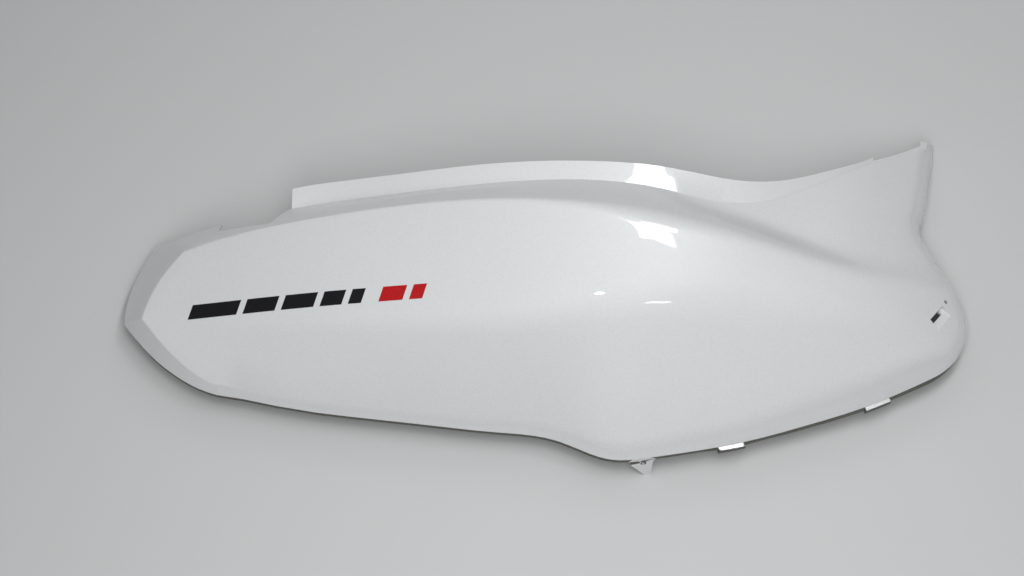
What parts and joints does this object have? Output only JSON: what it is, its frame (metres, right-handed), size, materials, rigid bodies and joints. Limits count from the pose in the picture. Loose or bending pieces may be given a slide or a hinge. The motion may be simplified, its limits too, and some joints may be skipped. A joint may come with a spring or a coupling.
{
  "type": "scooter side panel",
  "caption": "Moulded rear side panel of a scooter: a long curved shell with a seat flange, a raised front fin and slanted stripes.",
  "frame": {"origin": "centre of the panel's box in plan, on the surface that it lies on", "axes": "+X towards the vehicle's front, along the panel's length; +Y towards the seat edge; +Z out of the painted face. The panel lies on its open side."},
  "size_m": [0.7946, 0.3388, 0.1293],
  "materials": {
    "panel_paint": "pearl white gloss",
    "black_vinyl": "satin film",
    "red_vinyl": "satin film"
  },
  "bodies": {
    "root": {"side_panel": "panel_paint", "dark_stripes": "black_vinyl", "red_stripes": "red_vinyl"}
  },
  "joints": []
}
